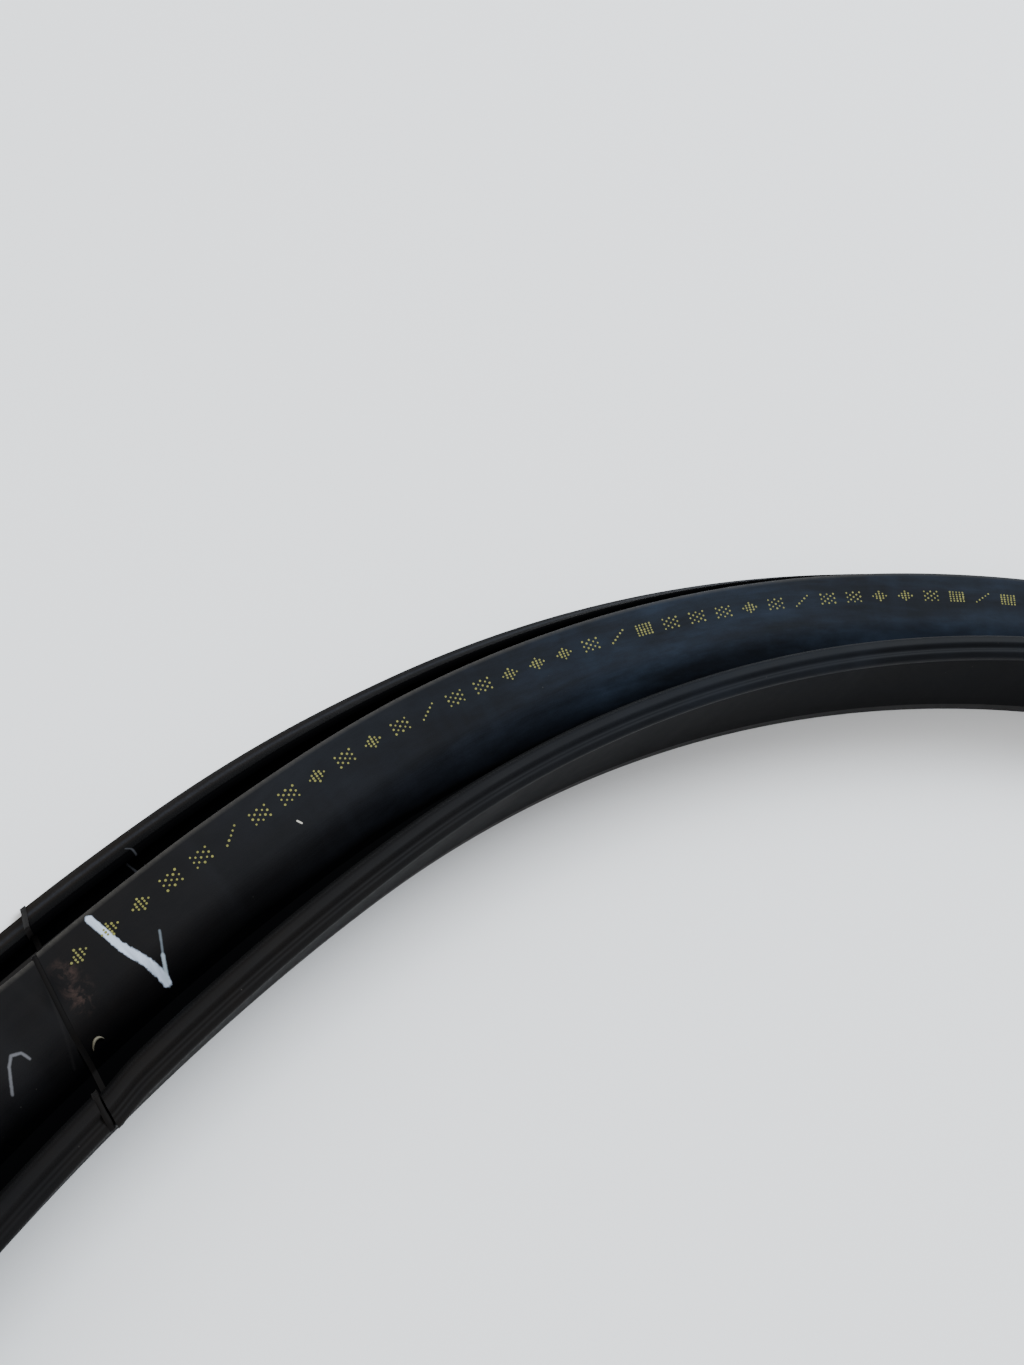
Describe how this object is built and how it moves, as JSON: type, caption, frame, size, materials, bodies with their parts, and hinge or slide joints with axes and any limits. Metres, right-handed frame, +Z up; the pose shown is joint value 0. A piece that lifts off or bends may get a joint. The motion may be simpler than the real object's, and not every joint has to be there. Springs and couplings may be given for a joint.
{
  "type": "rubber weatherstrip track loop",
  "caption": "Closed loop of rubber weatherstrip channel with a steel carrier, folded outer lip and beaded inner bulb, lying flat.",
  "frame": {"origin": "floor under the middle of the loop", "axes": "+Z up, with the loop lying flat; +X along the loop's long axis; the closing splice is on the +Y side"},
  "size_m": [0.853, 0.6883, 0.0315],
  "materials": {
    "dense_rubber": "satin extruded",
    "cover_rubber": "matte, faintly bloomed",
    "sponge_rubber": "matte closed-cell skin",
    "bead_rubber": "satin slip coat",
    "splice_rubber": "moulded, satin",
    "carrier_steel": "mill finish",
    "soft_rubber": "matte",
    "butyl_mastic": "tacky gloss",
    "glass_cord": "twisted yarn"
  },
  "bodies": {
    "root": {"base_leg": "dense_rubber", "inner_wall": "dense_rubber", "web_leg": "dense_rubber", "web_cover": "cover_rubber", "outer_lip": "dense_rubber", "inner_bulb": "sponge_rubber", "bead_cap": "bead_rubber", "moulded_splice": "splice_rubber", "steel_core": "carrier_steel", "fin_upper_outer": "soft_rubber", "fin_upper_inner": "soft_rubber", "fin_lower_outer": "soft_rubber", "fin_lower_inner": "soft_rubber", "sealant_bead": "butyl_mastic", "wall_cord": "glass_cord", "edge_cord": "glass_cord", "bulb_plug": "sponge_rubber"}
  },
  "joints": []
}
